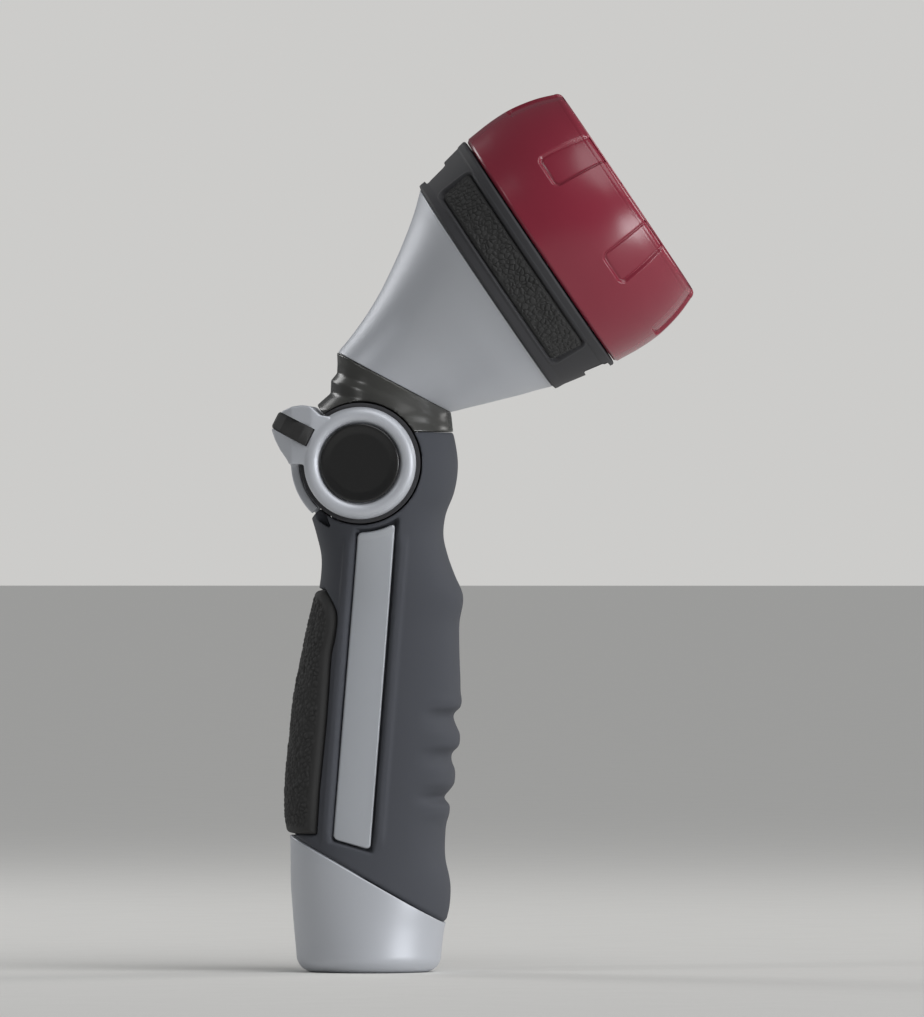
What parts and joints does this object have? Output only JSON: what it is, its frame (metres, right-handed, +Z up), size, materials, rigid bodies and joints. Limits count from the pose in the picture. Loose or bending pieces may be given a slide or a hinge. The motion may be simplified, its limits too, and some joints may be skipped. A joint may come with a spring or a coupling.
{
  "type": "hose spray nozzle",
  "caption": "Upright-grip garden hose nozzle with a round thumb valve at the neck and an angled head whose red dial turns to choose the spray pattern.",
  "frame": {"origin": "centre of the hose inlet's mouth, at the lowest face of the handle", "axes": "+Z up the handle and out of the hose, +X towards the spray side, symmetric about the XZ plane"},
  "size_m": [0.1053, 0.0678, 0.2194],
  "materials": {
    "collar_black": "black moulded plastic",
    "core_black": "black structural plastic",
    "dial_red": "deep red slightly translucent gloss plastic",
    "face_grey": "dark grey moulded plastic",
    "gloss_black": "near-black glossy plastic",
    "grip_rubber": "soft charcoal overmoulded rubber",
    "inlay_silver": "satin silver paint, slightly darker",
    "insert_alloy": "machined aluminium alloy",
    "neck_dark": "dark glossy plastic",
    "pebble_rubber": "black pebbled rubber",
    "satin_silver": "satin silver paint",
    "seal_rubber": "black seal rubber",
    "spring_steel": "stainless steel",
    "white_nylon": "white acetal"
  },
  "bodies": {
    "handle": {"thread_insert": "insert_alloy", "hose_washer": "seal_rubber", "inlet_screen": "spring_steel", "water_tube": "core_black", "base_ferrule": "satin_silver", "grip_sleeve": "grip_rubber", "rear_grip_pad": "pebble_rubber", "inlay_right": "inlay_silver", "inlay_left": "inlay_silver", "frame_right": "core_black", "frame_left": "core_black", "valve_housing": "core_black", "valve_bushes": "white_nylon", "valve_seats": "seal_rubber", "joint_seals": "seal_rubber", "neck_cover": "neck_dark", "cone_shroud": "satin_silver", "outlet_tube": "core_black", "head_manifold": "core_black", "manifold_plate": "core_black", "manifold_screws": "spring_steel", "port_seal": "seal_rubber", "seal_spring": "spring_steel", "detent_ball": "spring_steel", "detent_spring": "spring_steel", "collar_ring": "collar_black", "collar_pad_right": "pebble_rubber", "collar_pad_left": "pebble_rubber", "centre_screw": "spring_steel"},
    "lever": {"thumb_lever": "satin_silver", "lever_pad": "pebble_rubber", "hub_cap_right": "gloss_black", "hub_cap_left": "gloss_black", "valve_barrel": "white_nylon", "barrel_seals": "seal_rubber", "lever_screws": "spring_steel"},
    "dial": {"dial_bezel": "dial_red", "pattern_disc": "core_black", "dial_gasket": "seal_rubber", "spray_face": "face_grey", "thrust_washer": "white_nylon", "centre_cap": "face_grey"}
  },
  "joints": [
    {"name": "lever_turn", "type": "hinge", "parent": "handle", "child": "lever", "pos_m": [-0.0016, 0, 0.1271], "axis": [0, -1, 0], "range_deg": [0, 45]},
    {"name": "dial_turn", "type": "hinge", "parent": "handle", "child": "dial", "pos_m": [0.04294, 0, 0.18004], "axis": [0.83, 0, 0.5577], "continuous": true}
  ]
}
